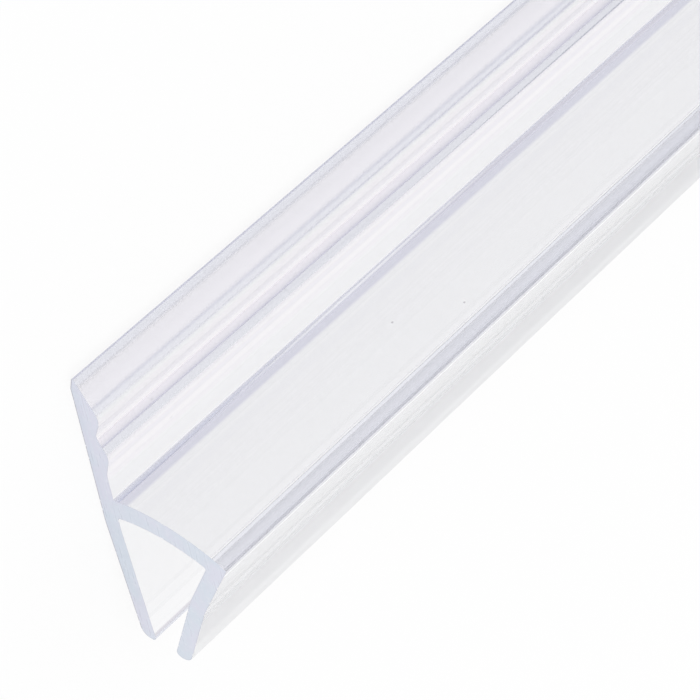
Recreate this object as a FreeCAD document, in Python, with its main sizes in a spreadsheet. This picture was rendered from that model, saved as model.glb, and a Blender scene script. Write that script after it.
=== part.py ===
"""Shower door seal strip: one length of clear soft PVC extrusion, cut square at both ends.

The section is a tall flat wall with a bowed web standing on it at mid height. Below the web
the wall runs on as the back leg, and a bent front leg comes down from the web's far end and
leans back towards it. Web and legs make the channel that springs open over the edge of a
glass door. Above the web the wall is a free fin that closes the gap beside the glass. The
fin ends in a wedge, and two long ratchet ridges run along its inner face.

The strip lies on the fin's flat back. X runs along the strip, Y across it from the fin's
tip to the legs' tips, and Z up from the floor. The origin is under the middle of the strip.
"""

import FreeCAD, Part

import math
import os

import Sketcher

OUT_FOLDER = "parts"
NODE = "seal_strip"

# Driving sizes in millimetres, and leans in degrees.
SIZES = {
    "strip_length": (1000.0, "sold length, cut square at both ends"),
    "glass_thickness": (8.0, "door glass that the channel takes"),
    "wall_thickness": (1.5, "fin and the root of the back leg"),
    "fin_height": (11.05, "fin's tip to the web's upper face"),
    "fin_tip_thickness": (0.4, "thin end of the fin's wedge"),
    "fin_tip_bevel": (0.5, "bevel behind the fin's tip"),
    "ridge_thickness": (2.1, "wall through the crest of a ridge"),
    "ridge_crest": (3.1, "fin's tip to the first crest"),
    "ridge_pitch": (3.55, "crest to crest"),
    "ridge_run_out": (2.0, "second crest to the plain wall"),
    "valley_thickness": (1.35, "wall at the bottom of the valley"),
    "valley_run": (1.9, "first crest to the bottom of the valley"),
    "web_thickness": (1.72, "bowed web"),
    "web_rise": (0.65, "bow of the web towards the fin's tip"),
    "web_shoulder": (1.0, "web beyond the glass, over the front leg"),
    "corner_drop": (0.4, "slope of the blunt corner over the front leg"),
    "channel_depth": (12.43, "web to the legs' tips"),
    "back_leg_start": (3.05, "web's upper face to the bend in the wall"),
    "back_leg_lean": (4.9, "back leg towards the front leg"),
    "back_leg_tip_thickness": (1.35, "back leg at its tip"),
    "front_leg_thickness": (1.3, "front leg"),
    "front_leg_knee": (6.35, "web's upper face to the front leg's knee"),
    "front_leg_root_lean": (26.8, "front leg above its knee"),
    "front_leg_tip_lean": (21.5, "front leg below its knee"),
    "crest_radius": (0.6, "rounding of the crests and the valley"),
    "fin_tip_radius": (0.12, "rounding of the fin's tip"),
    "back_leg_tip_radius": (0.75, "rounding outside the back leg's tip"),
    "back_leg_lip_radius": (0.48, "rounding inside the back leg's tip"),
    "front_leg_tip_radius": (1.1, "rounding outside the front leg's tip"),
    "front_leg_lip_radius": (0.4, "rounding inside the front leg's tip"),
    "channel_radius": (0.25, "rounding in the channel's two corners"),
    "root_radius": (0.12, "rounding between the fin and the web"),
    "corner_radius": (0.2, "rounding of the blunt corner"),
}

# Places in the section that the outlines share, measured from the origin.
LEG_ENDS = "((sizes.fin_height + sizes.web_thickness + sizes.channel_depth) / 2)"
FIN_TIP = f"(0 - {LEG_ENDS})"
WEB_TOP = f"({FIN_TIP} + sizes.fin_height)"
WEB_UNDER = f"({WEB_TOP} + sizes.web_thickness)"
GLASS_FRONT = "(sizes.wall_thickness + sizes.glass_thickness)"
WEB_END = f"({GLASS_FRONT} + sizes.web_shoulder)"

# The two roundings of a leg's tip share its end, so a thin leg limits them.
BACK_LEG_TIP = "min(sizes.back_leg_tip_radius; 0.6 * sizes.back_leg_tip_thickness)"
BACK_LEG_LIP = "min(sizes.back_leg_lip_radius; 0.38 * sizes.back_leg_tip_thickness)"
FRONT_LEG_TIP = "min(sizes.front_leg_tip_radius; 0.85 * sizes.front_leg_thickness)"
FRONT_LEG_LIP = "min(sizes.front_leg_lip_radius; 0.31 * sizes.front_leg_thickness)"


def make_sheet(doc):
    """The spreadsheet of driving sizes: name, value and meaning, one row each."""
    sheet = doc.addObject("Spreadsheet::Sheet", "sizes")
    for row, (alias, (value, meaning)) in enumerate(SIZES.items(), start=1):
        sheet.set(f"A{row}", alias)
        sheet.set(f"B{row}", str(value))
        sheet.set(f"C{row}", meaning)
        sheet.setAlias(f"B{row}", alias)
    doc.recompute()
    return sheet


def number(obj, rule):
    """What a rule comes to, read from the sheet."""
    found = obj.evalExpression(rule)
    return float(getattr(found, "Value", found))


class Outline:
    """A closed outline in the strip's cross-section: sketch x is Y, and sketch y is Z."""

    def __init__(self, body, name):
        plane = next(f for f in body.Origin.OriginFeatures if f.Role == "YZ_Plane")
        self.body = body
        self.sketch = body.newObject("Sketcher::SketchObject", name)
        self.sketch.AttachmentSupport = (plane, [""])
        self.sketch.MapMode = "FlatFace"

    def number(self, rule):
        return number(self.sketch, rule)

    def polygon(self, corners):
        """Lines through the corners, in turn and back to the first. Edge n starts at corner n."""
        points = [FreeCAD.Vector(y, z, 0) for y, z in corners]
        edges = [
            self.sketch.addGeometry(Part.LineSegment(here, there), False)
            for here, there in zip(points, points[1:] + points[:1])
        ]
        for edge, following in zip(edges, edges[1:] + edges[:1]):
            self.fix("Coincident", edge, 2, following, 1)
        return edges

    def fix(self, kind, *elements):
        return self.sketch.addConstraint(Sketcher.Constraint(kind, *elements))

    def size(self, name, rule, kind, *elements):
        """A dimension that follows the sheet."""
        value = self.number(rule)
        if kind == "Angle":
            value = math.radians(value)
        index = self.fix(kind, *elements, value)
        self.sketch.renameConstraint(index, name)
        self.sketch.setExpression(f"Constraints.{name}", rule)

    def place(self, name, edge, end, y_rule=None, z_rule=None):
        """Holds one end of an edge at its distance from the origin."""
        if y_rule:
            self.size(f"{name}_y", y_rule, "DistanceX", -1, 1, edge, end)
        if z_rule:
            self.size(f"{name}_z", z_rule, "DistanceY", -1, 1, edge, end)

    def corner(self, edge):
        """Where an edge starts, as (y, z)."""
        point = self.sketch.getPoint(edge, 1)
        return point.x, point.y

    def pad(self, name):
        """Extrudes the solved outline to both sides of the strip's middle."""
        self.body.Document.recompute()
        if not self.sketch.FullyConstrained:
            raise RuntimeError(f"{self.sketch.Label} is not fully constrained")
        pad = self.body.newObject("PartDesign::Pad", name)
        pad.Profile = self.sketch
        pad.SideType = "Symmetric"
        pad.setExpression("Length", "sizes.strip_length")
        self.body.Document.recompute()


def add_wall(body):
    """Fin with its wedge and ridges, and the back leg: one wall from end to end."""
    wall = Outline(body, "wall_outline")
    crest_1_rule = f"{FIN_TIP} + sizes.ridge_crest"
    crest_2_rule = f"{crest_1_rule} + sizes.ridge_pitch"
    fin_tip = wall.number(FIN_TIP)
    bevel_end = fin_tip + wall.number("sizes.fin_tip_bevel")
    crest_1 = wall.number(crest_1_rule)
    crest_2 = wall.number(crest_2_rule)
    valley = crest_1 + wall.number("sizes.valley_run")
    run_out_end = crest_2 + wall.number("sizes.ridge_run_out")
    bend = wall.number(WEB_TOP) + wall.number("sizes.back_leg_start")
    leg_ends = wall.number(LEG_ENDS)
    thick = wall.number("sizes.wall_thickness")
    tip_thick = wall.number("sizes.back_leg_tip_thickness")
    ridge = wall.number("sizes.ridge_thickness")
    rise = (leg_ends - bend) * math.tan(math.radians(wall.number("sizes.back_leg_lean")))
    back, leg_back, leg_end, leg_face, face, run_out, lead, trail, wedge, bevel = wall.polygon(
        [
            (bevel_end, 0.0),
            (bend, 0.0),
            (leg_ends, rise),
            (leg_ends, rise + tip_thick),
            (bend, thick),
            (run_out_end, thick),
            (crest_2, ridge),
            (valley, wall.number("sizes.valley_thickness")),
            (crest_1, ridge),
            (fin_tip, wall.number("sizes.fin_tip_thickness")),
        ]
    )
    wall.fix("PointOnObject", back, 1, -1)
    wall.fix("PointOnObject", back, 2, -1)
    wall.place("bevel", back, 1, f"{FIN_TIP} + sizes.fin_tip_bevel")
    wall.place("bend", back, 2, f"{WEB_TOP} + sizes.back_leg_start")
    wall.size("lean", "sizes.back_leg_lean * 1 deg", "Angle", leg_back)
    wall.place("leg_end", leg_end, 1, LEG_ENDS)
    wall.fix("Vertical", leg_end)
    wall.size("root_thickness", "sizes.wall_thickness", "Distance", leg_face, 2, leg_back)
    wall.size("tip_thickness", "sizes.back_leg_tip_thickness", "Distance", leg_face, 1, leg_back)
    wall.fix("Horizontal", face)
    wall.place("run_out", run_out, 1, f"{crest_2_rule} + sizes.ridge_run_out", "sizes.wall_thickness")
    wall.place("crest_2", lead, 1, crest_2_rule, "sizes.ridge_thickness")
    wall.place("valley", trail, 1, f"{crest_1_rule} + sizes.valley_run", "sizes.valley_thickness")
    wall.place("crest_1", wedge, 1, crest_1_rule, "sizes.ridge_thickness")
    wall.place("fin_tip", bevel, 1, FIN_TIP, "sizes.fin_tip_thickness")
    wall.pad("wall")
    return {
        "ridges": [wall.corner(edge) for edge in (lead, trail, wedge)],
        "fin_tip": [wall.corner(edge) for edge in (back, bevel)],
        "leg_tip": [wall.corner(leg_end)],
        "leg_lip": [wall.corner(leg_face)],
    }


def add_web(body):
    """The bowed web: two arcs about one centre, from inside the wall to the blunt corner."""
    web = Outline(body, "web_outline")
    half_span_rule = f"({WEB_END} - sizes.wall_thickness) / 2"
    radius_rule = f"(({half_span_rule})^2 + sizes.web_rise^2) / (2 * sizes.web_rise)"
    root_rule = "sizes.wall_thickness / 2"
    radius = web.number(radius_rule)
    centre_y = web.number(WEB_TOP) - web.number("sizes.web_rise") + radius
    centre_z = web.number("sizes.wall_thickness") + web.number(half_span_rule)
    root_z = web.number(root_rule)
    end_z = web.number(WEB_END)

    def bow(bow_radius):
        """An arc that bulges towards the fin's tip: it starts over the front leg."""
        centre = FreeCAD.Vector(centre_y, centre_z, 0)
        circle = Part.Circle(centre, FreeCAD.Vector(0, 0, 1), bow_radius)
        start = math.pi - math.asin((end_z - centre_z) / bow_radius)
        end = math.pi - math.asin((root_z - centre_z) / bow_radius)
        return web.sketch.addGeometry(Part.ArcOfCircle(circle, start, end), False)

    def close(end):
        """The short line between the same ends of the two arcs."""
        points = [web.sketch.getPoint(arc, end) for arc in (upper, lower)]
        edge = web.sketch.addGeometry(Part.LineSegment(*points), False)
        web.fix("Coincident", edge, 1, upper, end)
        web.fix("Coincident", edge, 2, lower, end)
        web.fix("Horizontal", edge)

    upper = bow(radius)
    lower = bow(radius - web.number("sizes.web_thickness"))
    close(1)
    close(2)
    web.fix("Coincident", upper, 3, lower, 3)
    web.size("upper_radius", radius_rule, "Radius", upper)
    web.size("lower_radius", f"{radius_rule} - sizes.web_thickness", "Radius", lower)
    web.place("centre", upper, 3, None, f"sizes.wall_thickness + {half_span_rule}")
    web.place("end", upper, 1, WEB_TOP, WEB_END)
    web.place("root", upper, 2, None, root_rule)
    web.pad("web")
    under = web.number(WEB_UNDER)
    wall_face = web.number("sizes.wall_thickness")
    return {
        "fin_root": [(web.number(WEB_TOP), wall_face)],
        "channel": [(under, wall_face), (under, web.number(GLASS_FRONT))],
    }


def add_front_leg(body):
    """The blunt corner at the web's end, and the bent leg that leans in below the glass."""
    leg = Outline(body, "front_leg_outline")
    root_slope_rule = "tan(sizes.front_leg_root_lean * 1 deg)"
    knee_z_rule = f"{GLASS_FRONT} - (sizes.front_leg_knee - sizes.web_thickness) * {root_slope_rule}"
    knee_y_rule = f"{WEB_TOP} + sizes.front_leg_knee"
    root_y_rule = f"{WEB_TOP} + sizes.web_thickness / 2"
    root_slope = leg.number(root_slope_rule)
    tip_slope = math.tan(math.radians(leg.number("sizes.front_leg_tip_lean")))
    thick = leg.number("sizes.front_leg_thickness")
    web_top = leg.number(WEB_TOP)
    corner_y = web_top + leg.number("sizes.corner_drop")
    knee_y = leg.number(knee_y_rule)
    knee_z = leg.number(knee_z_rule)
    root_y = leg.number(root_y_rule)
    leg_ends = leg.number(LEG_ENDS)
    tip_z = knee_z - (leg_ends - knee_y) * tip_slope
    start, outer, outer_tip, end, inner_tip, inner, _ = leg.polygon(
        [
            (web_top, leg.number(WEB_END)),
            (corner_y, knee_z + thick + (knee_y - corner_y) * root_slope),
            (knee_y, knee_z + thick),
            (leg_ends, tip_z + thick),
            (leg_ends, tip_z),
            (knee_y, knee_z),
            (root_y, knee_z + (knee_y - root_y) * root_slope),
        ]
    )
    leg.place("web_end", start, 1, WEB_TOP, WEB_END)
    leg.place("corner", outer, 1, f"{WEB_TOP} + sizes.corner_drop")
    leg.place("leg_end", end, 1, LEG_ENDS)
    leg.fix("Vertical", end)
    leg.place("knee", inner, 1, knee_y_rule, knee_z_rule)
    leg.place("root", inner, 2, root_y_rule)
    leg.size("root_lean", "sizes.front_leg_root_lean * -1 deg", "Angle", outer)
    leg.size("tip_lean", "sizes.front_leg_tip_lean * -1 deg", "Angle", outer_tip)
    leg.fix("Parallel", outer, inner)
    leg.fix("Parallel", outer_tip, inner_tip)
    leg.size("root_thickness", "sizes.front_leg_thickness", "Distance", inner, 2, outer)
    leg.size("tip_thickness", "sizes.front_leg_thickness", "Distance", inner, 1, outer_tip)
    leg.pad("front_leg")
    return {
        "corner": [leg.corner(outer)],
        "leg_tip": [leg.corner(end)],
        "leg_lip": [leg.corner(inner_tip)],
    }


def round_edges(body, name, radius_rule, corners):
    """Rounds the long edges that lie nearest to the given corners of the section."""
    base = body.Tip
    shape = base.Shape
    long_edges = [
        (f"Edge{index}", edge.CenterOfMass)
        for index, edge in enumerate(shape.Edges, start=1)
        if edge.BoundBox.XLength > shape.BoundBox.XLength / 2
    ]

    def nearest(corner):
        return min(long_edges, key=lambda item: math.dist(corner, (item[1].y, item[1].z)))[0]

    fillet = body.newObject("PartDesign::Fillet", name)
    fillet.Base = (base, [nearest(corner) for corner in corners])
    fillet.setExpression("Radius", radius_rule)
    body.Document.recompute()


def checked_solid(doc, body):
    """The strip's solid. Stops if anything in the document failed, or it is not one sound solid."""
    for obj in doc.Objects:
        if {"Invalid", "Error"} & set(obj.State):
            raise RuntimeError(f"{obj.Label} failed: {obj.State}")
    shape = body.Shape
    if shape.isNull() or not shape.isValid() or len(shape.Solids) != 1:
        raise RuntimeError(f"{body.Label} is not one valid solid")
    return shape.Solids[0]


doc = FreeCAD.newDocument("shower_door_seal")
make_sheet(doc)
strip = doc.addObject("PartDesign::Body", NODE)
strip.Label = NODE

wall = add_wall(strip)
web = add_web(strip)
front_leg = add_front_leg(strip)

round_edges(strip, "ridge_rounding", "sizes.crest_radius", wall["ridges"])
round_edges(strip, "fin_tip_rounding", "sizes.fin_tip_radius", wall["fin_tip"])
round_edges(strip, "back_leg_tip_rounding", BACK_LEG_TIP, wall["leg_tip"])
round_edges(strip, "back_leg_lip_rounding", BACK_LEG_LIP, wall["leg_lip"])
round_edges(strip, "front_leg_tip_rounding", FRONT_LEG_TIP, front_leg["leg_tip"])
round_edges(strip, "front_leg_lip_rounding", FRONT_LEG_LIP, front_leg["leg_lip"])
round_edges(strip, "channel_rounding", "sizes.channel_radius", web["channel"])
round_edges(strip, "fin_root_rounding", "sizes.root_radius", web["fin_root"])
round_edges(strip, "corner_rounding", "sizes.corner_radius", front_leg["corner"])

solid = checked_solid(doc, strip)
os.makedirs(OUT_FOLDER, exist_ok=True)
solid.exportStep(f"{OUT_FOLDER}/{NODE}.step")
middle = solid.CenterOfMass
print(f"{NODE}: {solid.Volume:.0f} mm3, centre of mass at y {middle.y:.2f}, z {middle.z:.2f}")
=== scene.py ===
"""A length of clear shower door seal, lying on the back of its fin on a pale studio floor."""

import math

import bmesh
import bpy
from mathutils import Matrix, Vector


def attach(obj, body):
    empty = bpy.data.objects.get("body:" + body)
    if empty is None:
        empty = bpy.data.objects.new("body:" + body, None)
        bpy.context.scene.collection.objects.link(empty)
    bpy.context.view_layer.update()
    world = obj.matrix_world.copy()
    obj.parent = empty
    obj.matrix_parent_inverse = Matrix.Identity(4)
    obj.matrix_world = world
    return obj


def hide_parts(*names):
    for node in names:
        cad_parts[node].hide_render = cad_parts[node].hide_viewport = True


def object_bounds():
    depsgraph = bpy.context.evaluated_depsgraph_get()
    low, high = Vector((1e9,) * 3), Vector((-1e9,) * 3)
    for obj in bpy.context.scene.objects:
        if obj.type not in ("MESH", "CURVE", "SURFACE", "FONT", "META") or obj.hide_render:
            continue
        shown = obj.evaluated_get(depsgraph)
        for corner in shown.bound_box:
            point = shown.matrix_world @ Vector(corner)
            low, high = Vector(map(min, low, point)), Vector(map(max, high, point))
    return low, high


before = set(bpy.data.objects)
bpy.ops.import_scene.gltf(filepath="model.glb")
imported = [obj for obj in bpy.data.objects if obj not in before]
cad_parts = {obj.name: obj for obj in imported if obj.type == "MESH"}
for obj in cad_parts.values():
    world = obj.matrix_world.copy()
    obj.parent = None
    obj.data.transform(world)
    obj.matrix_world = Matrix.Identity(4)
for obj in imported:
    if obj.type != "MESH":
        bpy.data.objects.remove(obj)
cad_low, cad_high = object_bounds()
scene = bpy.context.scene
scene.view_settings.view_transform = "Standard"

# The web is the seal's bridge: a bowed strip, evenly thick, that holds the front leg off the
# wall by the thickness of the glass. Everything leaves one die as one piece of soft PVC, so
# the section is drawn as one outline, and the web's upper face starts it.
MM = 0.001
WALL = 1.5
FIN_HEIGHT = 11.05
WEB = 1.72
CHANNEL_DEPTH = 12.43
TALL = FIN_HEIGHT + WEB + CHANNEL_DEPTH
GLASS = 8.0
GLASS_FRONT = WALL + GLASS
WEB_SHOULDER = 1.0
WEB_END = GLASS_FRONT + WEB_SHOULDER
WEB_RISE = 0.65
ROOT_ROUNDING = 0.12
BOW_STEPS = 28

section = bmesh.new()
rounded = []


def place(down, out):
    """A point of the section: mm from the fin's tip, and mm out from the flat back."""
    return Vector((cad_low[0], (down - TALL / 2) * MM, out * MM))


def draw(last, *corners):
    """Straight edges from a vertex to each corner in turn: (down, out, rounding radius)."""
    for down, out, radius in corners:
        vert = section.verts.new(place(down, out))
        if last:
            section.edges.new((last, vert))
        if radius:
            rounded.append((vert, radius * MM))
        last = vert
    return last


half_span = (WEB_END - WALL) / 2
upper_bow = (half_span**2 + WEB_RISE**2) / (2 * WEB_RISE)
lower_bow = upper_bow - WEB
bow_centre = (FIN_HEIGHT - WEB_RISE + upper_bow, WALL + half_span)


def spin_bow(start, radius, out_from, out_to, rounding):
    """Spins a vertex along a bow of that radius, between two distances out from the back."""
    angles = [math.asin((out - bow_centre[1]) / radius) for out in (out_from, out_to)]
    spun = bmesh.ops.spin(
        section,
        geom=[start],
        cent=place(*bow_centre),
        axis=(1, 0, 0),
        angle=angles[0] - angles[1],
        steps=BOW_STEPS,
        use_duplicate=False,
    )
    last = next(item for item in spun["geom_last"] if isinstance(item, bmesh.types.BMVert))
    rounded.append((last, rounding * MM))
    return last


web_end = draw(None, (FIN_HEIGHT, WEB_END, 0.0))
fin_root = spin_bow(web_end, upper_bow, WEB_END, WALL, ROOT_ROUNDING)

# The wall is the seal's spine. Up from the web it is the fin, which closes the gap beside
# the glass: two ratchet ridges run along its inner face, and it ends in a thin wedge. Down
# from the web it is the back leg, which leans in and thins a little towards its tip.
FIN_TIP = 0.4
FIN_BEVEL = 1.3
FIN_TIP_ROUNDING = 0.15
FIRST_CREST = 3.1
FIRST_CREST_OUT = 2.2
FIRST_CREST_ROUNDING = 1.3
VALLEY = FIRST_CREST + 1.9
VALLEY_OUT = 1.35
SECOND_CREST = FIRST_CREST + 3.55
SECOND_CREST_OUT = 2.15
SECOND_CREST_ROUNDING = 1.0
RIDGE_FOOT = SECOND_CREST + 2.0
FOOT_ROUNDING = 0.6
BEND = FIN_HEIGHT + 3.05
BEND_ROUNDING = 6.0
BACK_LEAN = math.radians(4.9)
BACK_LEG_TIP = 1.35
BACK_LEG_BACK_ROUNDING = 0.75
BACK_LEG_FRONT_ROUNDING = 0.48
CHANNEL_ROUNDING = 0.25
UNDERSIDE_END = GLASS_FRONT + 0.08

back_out = (TALL - BEND) * math.tan(BACK_LEAN)
wall_end = draw(
    fin_root,
    (RIDGE_FOOT, WALL, FOOT_ROUNDING),
    (SECOND_CREST, SECOND_CREST_OUT, SECOND_CREST_ROUNDING),
    (VALLEY, VALLEY_OUT, FOOT_ROUNDING),
    (FIRST_CREST, FIRST_CREST_OUT, FIRST_CREST_ROUNDING),
    (0.0, FIN_TIP, FIN_TIP_ROUNDING),
    (FIN_BEVEL, 0.0, FIN_TIP_ROUNDING),
    (BEND, 0.0, BEND_ROUNDING),
    (TALL, back_out, BACK_LEG_BACK_ROUNDING),
    (TALL, back_out + BACK_LEG_TIP / math.cos(BACK_LEAN), BACK_LEG_FRONT_ROUNDING),
    (BEND - WALL * math.tan(BACK_LEAN / 2), WALL, BEND_ROUNDING),
)
channel_root_down = bow_centre[0] - math.sqrt(lower_bow**2 - half_span**2)
channel_root = draw(wall_end, (channel_root_down, WALL, CHANNEL_ROUNDING))
channel_front = spin_bow(channel_root, lower_bow, WALL, UNDERSIDE_END, CHANNEL_ROUNDING)

# The front leg comes down from the web's blunt corner and leans back under the glass, a
# little less below its knee. The glass pushes it open, and its round tip rides the pane.
FRONT_LEG = 1.3
ROOT_LEAN = math.radians(26.8)
TIP_LEAN = math.radians(21.5)
KNEE = FIN_HEIGHT + 6.35
KNEE_ROUNDING = 6.0
FRONT_LEG_BACK_ROUNDING = 0.4
FRONT_LEG_FRONT_ROUNDING = 1.1
BLUNT_CORNER = FIN_HEIGHT + 0.4
BLUNT_CORNER_ROUNDING = 0.22

knee_out = GLASS_FRONT - (KNEE - FIN_HEIGHT - WEB) * math.tan(ROOT_LEAN)


def leg_out(down, lean, offset):
    """How far out a face of the leg stands: the inner face, or one that far outside it."""
    return knee_out - (down - KNEE) * math.tan(lean) + offset / math.cos(lean)


mean_lean = (ROOT_LEAN + TIP_LEAN) / 2
outer_knee = KNEE + FRONT_LEG * math.sin(mean_lean)
blunt_corner = draw(
    channel_front,
    (KNEE, knee_out, KNEE_ROUNDING),
    (TALL, leg_out(TALL, TIP_LEAN, 0.0), FRONT_LEG_BACK_ROUNDING),
    (TALL, leg_out(TALL, TIP_LEAN, FRONT_LEG), FRONT_LEG_FRONT_ROUNDING),
    (outer_knee, leg_out(outer_knee, TIP_LEAN, FRONT_LEG), KNEE_ROUNDING),
    (BLUNT_CORNER, leg_out(BLUNT_CORNER, ROOT_LEAN, FRONT_LEG), BLUNT_CORNER_ROUNDING),
)
section.edges.new((blunt_corner, web_end))

# The strip is drawn off through the die and cut square, here to a 1 m length. The die
# leaves each corner slightly round, and the knife leaves the ends flat and sharp.
ROUNDING_STEP = math.radians(7)
SHARP_EDGE = math.radians(12)
RIM = 0.08 * MM

bmesh.ops.contextual_create(section, geom=section.edges[:])
for vert, radius in rounded:
    ahead, behind = [(edge.other_vert(vert).co - vert.co) for edge in vert.link_edges]
    turn = math.pi - ahead.angle(behind)
    bmesh.ops.bevel(
        section,
        geom=[vert],
        offset=radius * math.tan(turn / 2),
        offset_type="OFFSET",
        segments=max(2, math.ceil(turn / ROUNDING_STEP)),
        profile=0.5,
        affect="VERTICES",
        clamp_overlap=False,
        material=-1,
    )
drawn = bmesh.ops.extrude_face_region(section, geom=section.faces[:])["geom"]
bmesh.ops.translate(
    section,
    vec=(cad_high[0] - cad_low[0], 0, 0),
    verts=[item for item in drawn if isinstance(item, bmesh.types.BMVert)],
)
bmesh.ops.recalc_face_normals(section, faces=section.faces[:])


def is_cut(face):
    """Whether a face looks along the strip, as the two cut ends do."""
    return abs(face.normal.x) > 0.5


ends = [face for face in section.faces if is_cut(face)]
rim_layer = section.verts.layers.float.new("rim")
for vert in section.verts:
    vert[rim_layer] = 1.0
bmesh.ops.inset_individual(section, faces=ends, thickness=RIM, use_even_offset=True)
for face in section.faces:
    face.smooth = True
    face.material_index = int(is_cut(face))
for face in ends:
    for vert in face.verts:
        vert[rim_layer] = 0.0
mesh = bpy.data.meshes.new("strip")
section.to_mesh(mesh)
section.free()
mesh.set_sharp_from_angle(angle=SHARP_EDGE)
strip = bpy.data.objects.new("strip", mesh)
scene.collection.objects.link(strip)
weighted = strip.modifiers.new("weighted_normals", "WEIGHTED_NORMAL")
weighted.keep_sharp = True
weighted.weight = 100
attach(strip, "root")
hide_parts("seal_strip")

# The plastic is clear, and tints where light runs far through it. Painted shade darkens it in
# bands at the fin's root, under the second ridge, in the blunt corner and at the back leg's tip,
# and greys the web. The first ridge, the corner and the front leg are milky. The die draws fine
# lines, and a few specks stay inside.
PVC_IOR = 1.53
CLEAR = (0.985, 0.985, 0.99, 1)
DEPTH_COLOUR = (0.0, 0.05, 0.4, 1)
DEPTH_DENSITY = 10.0
LIGHT_BOUNCES = 64
DIFFUSE_BOUNCES = 8
scene.cycles.max_bounces = LIGHT_BOUNCES
scene.cycles.glossy_bounces = LIGHT_BOUNCES
scene.cycles.transmission_bounces = LIGHT_BOUNCES
scene.cycles.diffuse_bounces = DIFFUSE_BOUNCES


def add_node(tree, kind, inputs=None, **settings):
    """A node with its settings; each input is given a value, or a socket to link it to."""
    node = tree.nodes.new("ShaderNode" + kind)
    for name, value in settings.items():
        setattr(node, name, value)
    for name, value in (inputs or {}).items():
        if isinstance(value, bpy.types.NodeSocket):
            tree.links.new(value, node.inputs[name])
        else:
            node.inputs[name].default_value = value
    return node


def ramp(tree, value, low, high, low_result=0.0, high_result=1.0):
    """Runs smoothly from one result to the other as the value goes from low to high."""
    inputs = {0: value, 1: low, 2: high, 3: low_result, 4: high_result}
    if low > high:
        inputs = {0: value, 1: high, 2: low, 3: high_result, 4: low_result}
    return add_node(tree, "MapRange", inputs, interpolation_type="SMOOTHSTEP").outputs[0]


def times(tree, *values):
    """The product of masks, or of a mask and a number."""
    product = values[0]
    for value in values[1:]:
        product = add_node(tree, "Math", {0: product, 1: value}, operation="MULTIPLY").outputs[0]
    return product


def inside(tree, value, limits):
    """A mask: 0 at the outer two of four limits, and 1 between the inner two."""
    rise, full, last, fall = limits
    return times(tree, ramp(tree, value, rise, full), ramp(tree, value, fall, last))


def tinted(tree, colour, tint, mask):
    """The colour, turned to the tint where the mask is 1."""
    mix = add_node(tree, "Mix", {0: mask, 6: colour, 7: tint}, data_type="RGBA")
    return mix.outputs[2]


def turned(tree, value, other, mask):
    """The value, turned to the other where the mask is 1."""
    return add_node(tree, "Mix", {0: mask, 2: value, 3: other}, data_type="FLOAT").outputs[0]


def section_place(tree, place_in_strip):
    """A point's place in mm, and its distances down from the fin's tip and out from the back."""
    inputs = {"Vector": place_in_strip, "Location": (0, TALL / 2, 0), "Scale": [1 / MM] * 3}
    in_mm = add_node(tree, "Mapping", inputs).outputs[0]
    axes = add_node(tree, "SeparateXYZ", {0: in_mm})
    return in_mm, axes.outputs["Y"], axes.outputs["Z"]


clear_pvc = bpy.data.materials.new("clear_pvc")
clear_pvc.use_nodes = True
tree = clear_pvc.node_tree
shader = tree.nodes["Principled BSDF"]
shader.inputs["IOR"].default_value = PVC_IOR
shader.inputs["Transmission Weight"].default_value = 1.0
depth = add_node(tree, "VolumeAbsorption", {"Color": DEPTH_COLOUR, "Density": DEPTH_DENSITY})
tree.links.new(depth.outputs[0], tree.nodes["Material Output"].inputs["Volume"])
place_in_strip = add_node(tree, "TexCoord").outputs["Object"]
in_mm, down, out = section_place(tree, place_in_strip)

FRONT_FACE = (1.0, 1.3)
FLANKS_DOWN = (3.0, 3.3, 8.9, 9.2)
FLANKS_TINT = (0.99, 0.955, 0.99, 1)
# The web's grey is painted shade, for the shaded channel and floor seen through it.
WEB_DOWN = (10.1, 10.3, 11.3, 11.6)
WEB_OUT = (2.4, 2.8, 10.3, 10.6)
WEB_PAINTED_SHADE = (0.905, 0.905, 0.91, 1)
# The dark at the back leg's tip is painted shade.
BACK_TIP_DOWN = (24.95, 25.1)
BACK_TIP_OUT = (3.2, 3.0)
BACK_TIP_PAINTED_SHADE = (0.55, 0.53, 0.60, 1)
# The lavender band at the fin's root is painted shade, in the crease where the fin meets the web.
ROOT_DOWN = (10.2, 10.5, 11.3, 11.5)
ROOT_OUT = (1.85, 2.05, 2.7, 3.1)
ROOT_PAINTED_SHADE = (0.57, 0.57, 0.70, 1)
# The band under the second ridge is painted shade, for light trapped in the ridge.
RIDGE_DOWN = (5.35, 5.8, 6.3, 6.6)
RIDGE_PAINTED_SHADE = (0.80, 0.805, 0.84, 1)
# The band in the blunt corner is painted shade; the same corner mask also makes the corner milky.
CORNER_DOWN = (12.0, 11.7)
CORNER_OUT = (10.6, 10.8)
CORNER_PAINTED_SHADE = (0.91, 0.91, 0.95, 1)
SPECKS_PER_M = 170.0
SPECK_SIZE = (0.02, 0.012)
SPECK_TINT = (0.45, 0.43, 0.46, 1)

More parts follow.
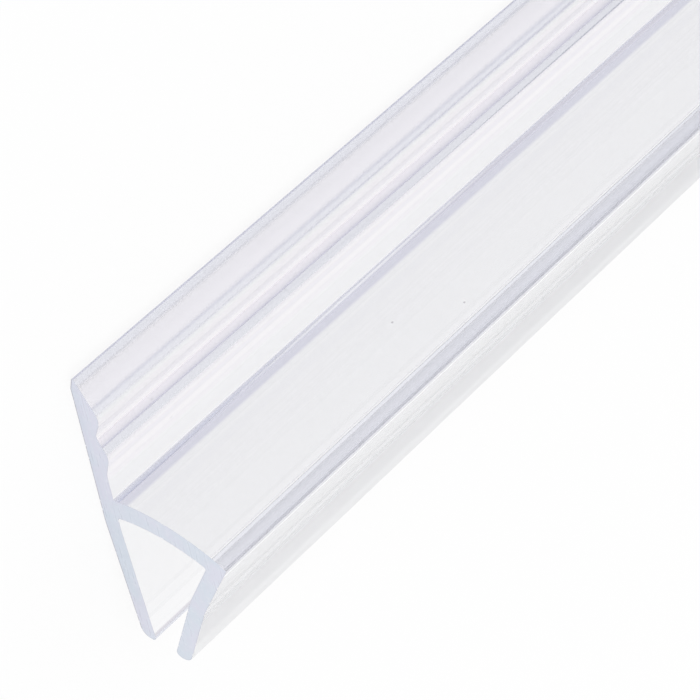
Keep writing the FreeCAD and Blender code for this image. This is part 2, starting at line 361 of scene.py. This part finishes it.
front_face = ramp(tree, out, *FRONT_FACE)
corner_mask = times(tree, ramp(tree, out, *CORNER_OUT), ramp(tree, down, *CORNER_DOWN))
specks = add_node(tree, "TexVoronoi", {"Vector": place_in_strip, "Scale": SPECKS_PER_M})
colour = CLEAR
for tint, *masks in (
    (FLANKS_TINT, inside(tree, down, FLANKS_DOWN), front_face),
    (WEB_PAINTED_SHADE, inside(tree, down, WEB_DOWN), inside(tree, out, WEB_OUT)),
    (BACK_TIP_PAINTED_SHADE, ramp(tree, down, *BACK_TIP_DOWN), ramp(tree, out, *BACK_TIP_OUT)),
    (ROOT_PAINTED_SHADE, inside(tree, down, ROOT_DOWN), inside(tree, out, ROOT_OUT)),
    (RIDGE_PAINTED_SHADE, inside(tree, down, RIDGE_DOWN), front_face),
    (CORNER_PAINTED_SHADE, corner_mask),
    (SPECK_TINT, ramp(tree, specks.outputs["Distance"], *SPECK_SIZE)),
):
    colour = tinted(tree, colour, tint, times(tree, *masks))
tree.links.new(colour, shader.inputs["Base Color"])

DIE_LINES_PER_M = (1.5, 450.0, 450.0)
DIE_LINE_RANGE = (0.3, 0.7)
DIE_LINE_DEPTH = 0.02 * MM
DIE_LINE_STRENGTH = 0.03
DIE_LINE_HAZE = (0.01, 0.03)
FRONT_LEG_FACE = (14.3, 14.6)
FRONT_LEG_START = (11.3, 11.6)
FRONT_LEG_HAZE_DOWN = (11.5, 24.0)
FRONT_LEG_HAZE = (0.15, 0.34)
CREST_DOWN = (1.8, 2.3, 4.0, 4.5)
MILKY = 0.2

inputs = {"Vector": place_in_strip, "Scale": DIE_LINES_PER_M}
stretched = add_node(tree, "Mapping", inputs).outputs[0]
inputs = {"Vector": stretched, "Scale": 1.0, "Detail": 2.0, "Roughness": 0.5}
die_lines = add_node(tree, "TexNoise", inputs).outputs["Fac"]
inputs = {"Strength": DIE_LINE_STRENGTH, "Distance": DIE_LINE_DEPTH, "Height": die_lines}
tree.links.new(add_node(tree, "Bump", inputs).outputs[0], shader.inputs["Normal"])
haze = ramp(tree, die_lines, *DIE_LINE_RANGE, *DIE_LINE_HAZE)
inputs = {0: in_mm, 1: (0, math.sin(mean_lean), math.cos(mean_lean))}
outward = add_node(tree, "VectorMath", inputs, operation="DOT_PRODUCT").outputs["Value"]
leg_mask = times(tree, ramp(tree, outward, *FRONT_LEG_FACE), ramp(tree, down, *FRONT_LEG_START))
haze = turned(tree, haze, ramp(tree, down, *FRONT_LEG_HAZE_DOWN, *FRONT_LEG_HAZE), leg_mask)
crest_mask = times(tree, inside(tree, down, CREST_DOWN), front_face)
for mask in (crest_mask, corner_mask):
    haze = turned(tree, haze, MILKY, mask)
tree.links.new(haze, shader.inputs["Roughness"])
strip.data.materials.append(clear_pvc)

# The knife leaves the two cut ends too rough to see into, so they look solid and bluish, with
# fine marks across them. Painted shade darkens their rims, most along the strip's back edge,
# and their rims are chipped in pale flecks.
END_BLUE = (0.71, 0.72, 0.83, 1)
END_GREEN = (0.67, 0.73, 0.82, 1)
CLOUDS_PER_M = 260.0
CLOUD_RANGE = (0.38, 0.62)
KNIFE_TURN = (0.5, 0, 0)
KNIFE_LINES_PER_M = (900.0, 350.0, 5000.0)
KNIFE_LINE_RANGE = (0.3, 0.7)
KNIFE_LINE_DEPTH = 0.02 * MM
KNIFE_LINE_STRENGTH = 0.2
KNIFE_LINE_HAZE = (0.26, 0.42)
KNIFE_MARK_RANGE = (0.5, 0.75)
KNIFE_MARK_TINT = (0.71, 0.75, 0.84, 1)
# The dark rim is painted shade, full along the back edge by the floor and weaker round the rest.
RIM_RANGE = (0.0, 0.4)
BACK_EDGE = (0.6, 0.3)
BACK_EDGE_PAINTED_SHADE = (0.46, 0.46, 0.52, 1)
REST_OF_RIM_SHADE = 0.3
FLECKS_PER_M = 2600.0
FLECK_RANGE = (0.60, 0.68)
FLECK_TINT = (0.93, 0.93, 0.96, 1)
FLECKS_WITHIN = 0.12


def from_back_face(tree, down, out):
    """How far a point lies in front of the strip's back, which leans in below the bend."""
    past = add_node(tree, "Math", {0: down, 1: BEND}, operation="SUBTRACT").outputs[0]
    past = add_node(tree, "Math", {0: past, 1: 0.0}, operation="MAXIMUM").outputs[0]
    lean = {0: past, 1: -math.tan(BACK_LEAN), 2: out}
    return add_node(tree, "Math", lean, operation="MULTIPLY_ADD").outputs[0]


cut_end = bpy.data.materials.new("cut_end")
cut_end.use_nodes = True
tree = cut_end.node_tree
shader = tree.nodes["Principled BSDF"]
shader.inputs["IOR"].default_value = PVC_IOR
place_in_strip = add_node(tree, "TexCoord").outputs["Object"]
_, down, out = section_place(tree, place_in_strip)

inputs = {"Vector": place_in_strip, "Rotation": KNIFE_TURN, "Scale": KNIFE_LINES_PER_M}
across = add_node(tree, "Mapping", inputs).outputs[0]
inputs = {"Vector": across, "Scale": 1.0, "Detail": 3.0}
knife_lines = add_node(tree, "TexNoise", inputs).outputs["Fac"]
inputs = {"Vector": place_in_strip, "Scale": CLOUDS_PER_M, "Detail": 3.0}
clouds = add_node(tree, "TexNoise", inputs).outputs["Fac"]
inputs = {"Vector": place_in_strip, "Scale": FLECKS_PER_M, "Detail": 1.0}
flecks = add_node(tree, "TexNoise", inputs).outputs["Fac"]
rim = add_node(tree, "Attribute", attribute_name="rim").outputs["Fac"]
from_back = from_back_face(tree, down, out)

rim_shade_mask = ramp(tree, rim, *RIM_RANGE)
fleck_rim = ramp(tree, rim, *RIM_RANGE, FLECKS_WITHIN)
colour = END_BLUE
# Over the blue: green clouds, knife marks, painted shade on the rim, and pale flecks.
for tint, *masks in (
    (END_GREEN, ramp(tree, clouds, *CLOUD_RANGE)),
    (KNIFE_MARK_TINT, ramp(tree, knife_lines, *KNIFE_MARK_RANGE)),
    (BACK_EDGE_PAINTED_SHADE, rim_shade_mask, ramp(tree, from_back, *BACK_EDGE, REST_OF_RIM_SHADE)),
    (FLECK_TINT, fleck_rim, ramp(tree, flecks, *FLECK_RANGE)),
):
    colour = tinted(tree, colour, tint, times(tree, *masks))
tree.links.new(colour, shader.inputs["Base Color"])
haze = ramp(tree, knife_lines, *KNIFE_LINE_RANGE, *KNIFE_LINE_HAZE)
tree.links.new(haze, shader.inputs["Roughness"])
inputs = {"Strength": KNIFE_LINE_STRENGTH, "Distance": KNIFE_LINE_DEPTH, "Height": knife_lines}
tree.links.new(add_node(tree, "Bump", inputs).outputs[0], shader.inputs["Normal"])
strip.data.materials.append(cut_end)

# The floor is a plain pale sheet, far larger than the strip. It lies a hair below the strip,
# so that the two faces don't meet. What looks at it, also through the plastic, sees it white,
# and even white light falls on it from all round.
FLOOR_GAP = 0.1 * MM
FLOOR_HALF_WIDTH = 3.0
FLOOR_COLOUR = (0.95, 0.95, 0.95, 1)
FLOOR_ROUGHNESS = 0.9
WHITE_SHARE = 0.9

sheet = bmesh.new()
bmesh.ops.create_grid(sheet, x_segments=1, y_segments=1, size=FLOOR_HALF_WIDTH)
bmesh.ops.translate(sheet, vec=(0, 0, -FLOOR_GAP), verts=sheet.verts[:])
mesh = bpy.data.meshes.new("floor")
sheet.to_mesh(mesh)
sheet.free()
floor = bpy.data.objects.new("floor", mesh)
scene.collection.objects.link(floor)
floor_paint = bpy.data.materials.new("floor_paint")
floor_paint.use_nodes = True
tree = floor_paint.node_tree
shader = tree.nodes["Principled BSDF"]
shader.inputs["Base Color"].default_value = FLOOR_COLOUR
shader.inputs["Roughness"].default_value = FLOOR_ROUGHNESS
path = add_node(tree, "LightPath")
seen = path.outputs["Is Camera Ray"]
for kind in ("Is Glossy Ray", "Is Transmission Ray"):
    seen = add_node(tree, "Math", {0: seen, 1: path.outputs[kind]}, operation="MAXIMUM").outputs[0]
white = add_node(tree, "Emission", {"Strength": 1.0})
inputs = {0: times(tree, seen, WHITE_SHARE), 1: shader.outputs[0], 2: white.outputs[0]}
mix = add_node(tree, "MixShader", inputs)
tree.links.new(mix.outputs[0], tree.nodes["Material Output"].inputs["Surface"])
floor.data.materials.append(floor_paint)

world = bpy.data.worlds.new("studio")
scene.world = world
world.use_nodes = True
background = world.node_tree.nodes["Background"]
background.inputs["Color"].default_value = (1, 1, 1, 1)
background.inputs["Strength"].default_value = 1.0

# The camera looks down on the near end along the strip, rolled as in the photograph. It is
# close and its view is narrow, so only the near stretch of the strip is in the frame.
SENSOR = 36.0
FRAME_PIXELS = 700.0
FOCAL_PIXELS = 3000.0
NEAR_CLIP = 1.0 * MM
CAMERA_RIGHT = Vector((-0.64866, 0.11778, 0.75191))
CAMERA_UP = Vector((-0.58926, -0.70299, -0.39823))
CAMERA_PLACE = Vector((579.268, -145.324, 113.124)) * MM

camera = bpy.data.objects.new("camera", bpy.data.cameras.new("camera"))
camera.data.sensor_width = SENSOR
camera.data.lens = FOCAL_PIXELS / FRAME_PIXELS * SENSOR
camera.data.clip_start = NEAR_CLIP
camera_axes = Matrix((CAMERA_RIGHT, CAMERA_UP, CAMERA_RIGHT.cross(CAMERA_UP))).transposed()
camera.matrix_world = Matrix.Translation(CAMERA_PLACE) @ camera_axes.to_4x4()
scene.collection.objects.link(camera)
scene.camera = camera
